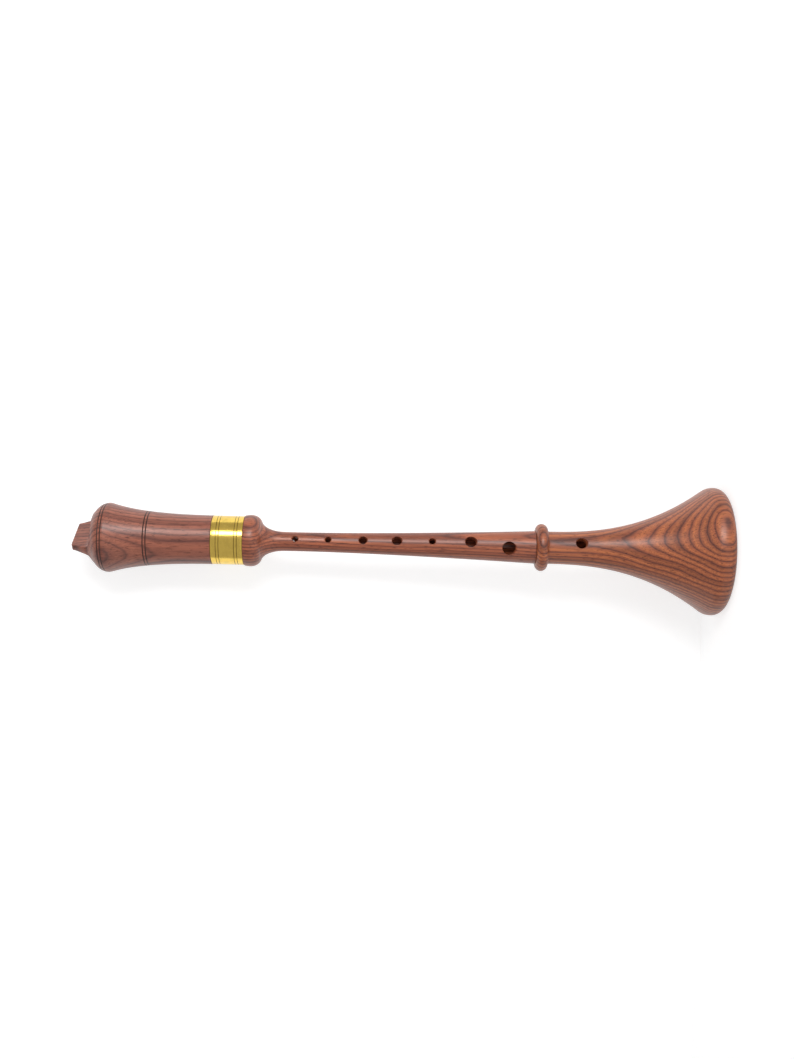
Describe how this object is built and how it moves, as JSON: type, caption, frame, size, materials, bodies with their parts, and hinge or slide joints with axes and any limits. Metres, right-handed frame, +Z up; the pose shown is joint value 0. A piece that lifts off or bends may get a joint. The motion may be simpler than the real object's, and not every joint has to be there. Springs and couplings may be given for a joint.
{
  "type": "windcap shawm",
  "caption": "Windcap shawm in oiled dark hardwood: flared bell, fingered conical body, windcap with blade-shaped blowing end and brass ferrule, double reed inside.",
  "frame": {"origin": "centre of the bell's mouth, on the surface that the instrument stands on", "axes": "+Z up the bore from the bell to the blowing end; the finger holes face -Y, the player's right hand side is -X"},
  "size_m": [0.096, 0.096, 0.4861],
  "materials": {
    "bell_wood": "oiled, satin, strongly figured",
    "body_wood": "oiled, satin, fine dark streaks",
    "windcap_wood": "oiled, satin, fine dark pores",
    "ferrule_brass": "polished",
    "upper_thread": "waxed thread",
    "lower_thread": "waxed thread",
    "staple_brass": "drawn tube",
    "yellow_thread": "waxed thread",
    "black_thread": "waxed thread",
    "cane_front": "scraped cane",
    "cane_back": "scraped cane"
  },
  "bodies": {
    "bell": {"bell": "bell_wood"},
    "body": {"body": "body_wood", "upper_tenon_lapping": "upper_thread", "lower_tenon_lapping": "lower_thread"},
    "windcap": {"windcap": "windcap_wood", "windcap_ferrule": "ferrule_brass"},
    "reed": {"reed_staple": "staple_brass", "reed_base_lapping": "yellow_thread", "reed_binding": "black_thread", "reed_blade_front": "cane_front", "reed_blade_back": "cane_back"}
  },
  "joints": [
    {"name": "body_pull", "type": "slide", "parent": "bell", "child": "body", "axis": [0, 0, 1], "range_m": [0, 0.03]},
    {"name": "windcap_pull", "type": "slide", "parent": "body", "child": "windcap", "axis": [0, 0, 1], "range_m": [0, 0.09]},
    {"name": "reed_pull", "type": "slide", "parent": "body", "child": "reed", "axis": [0, 0, 1], "range_m": [0, 0.015]}
  ]
}
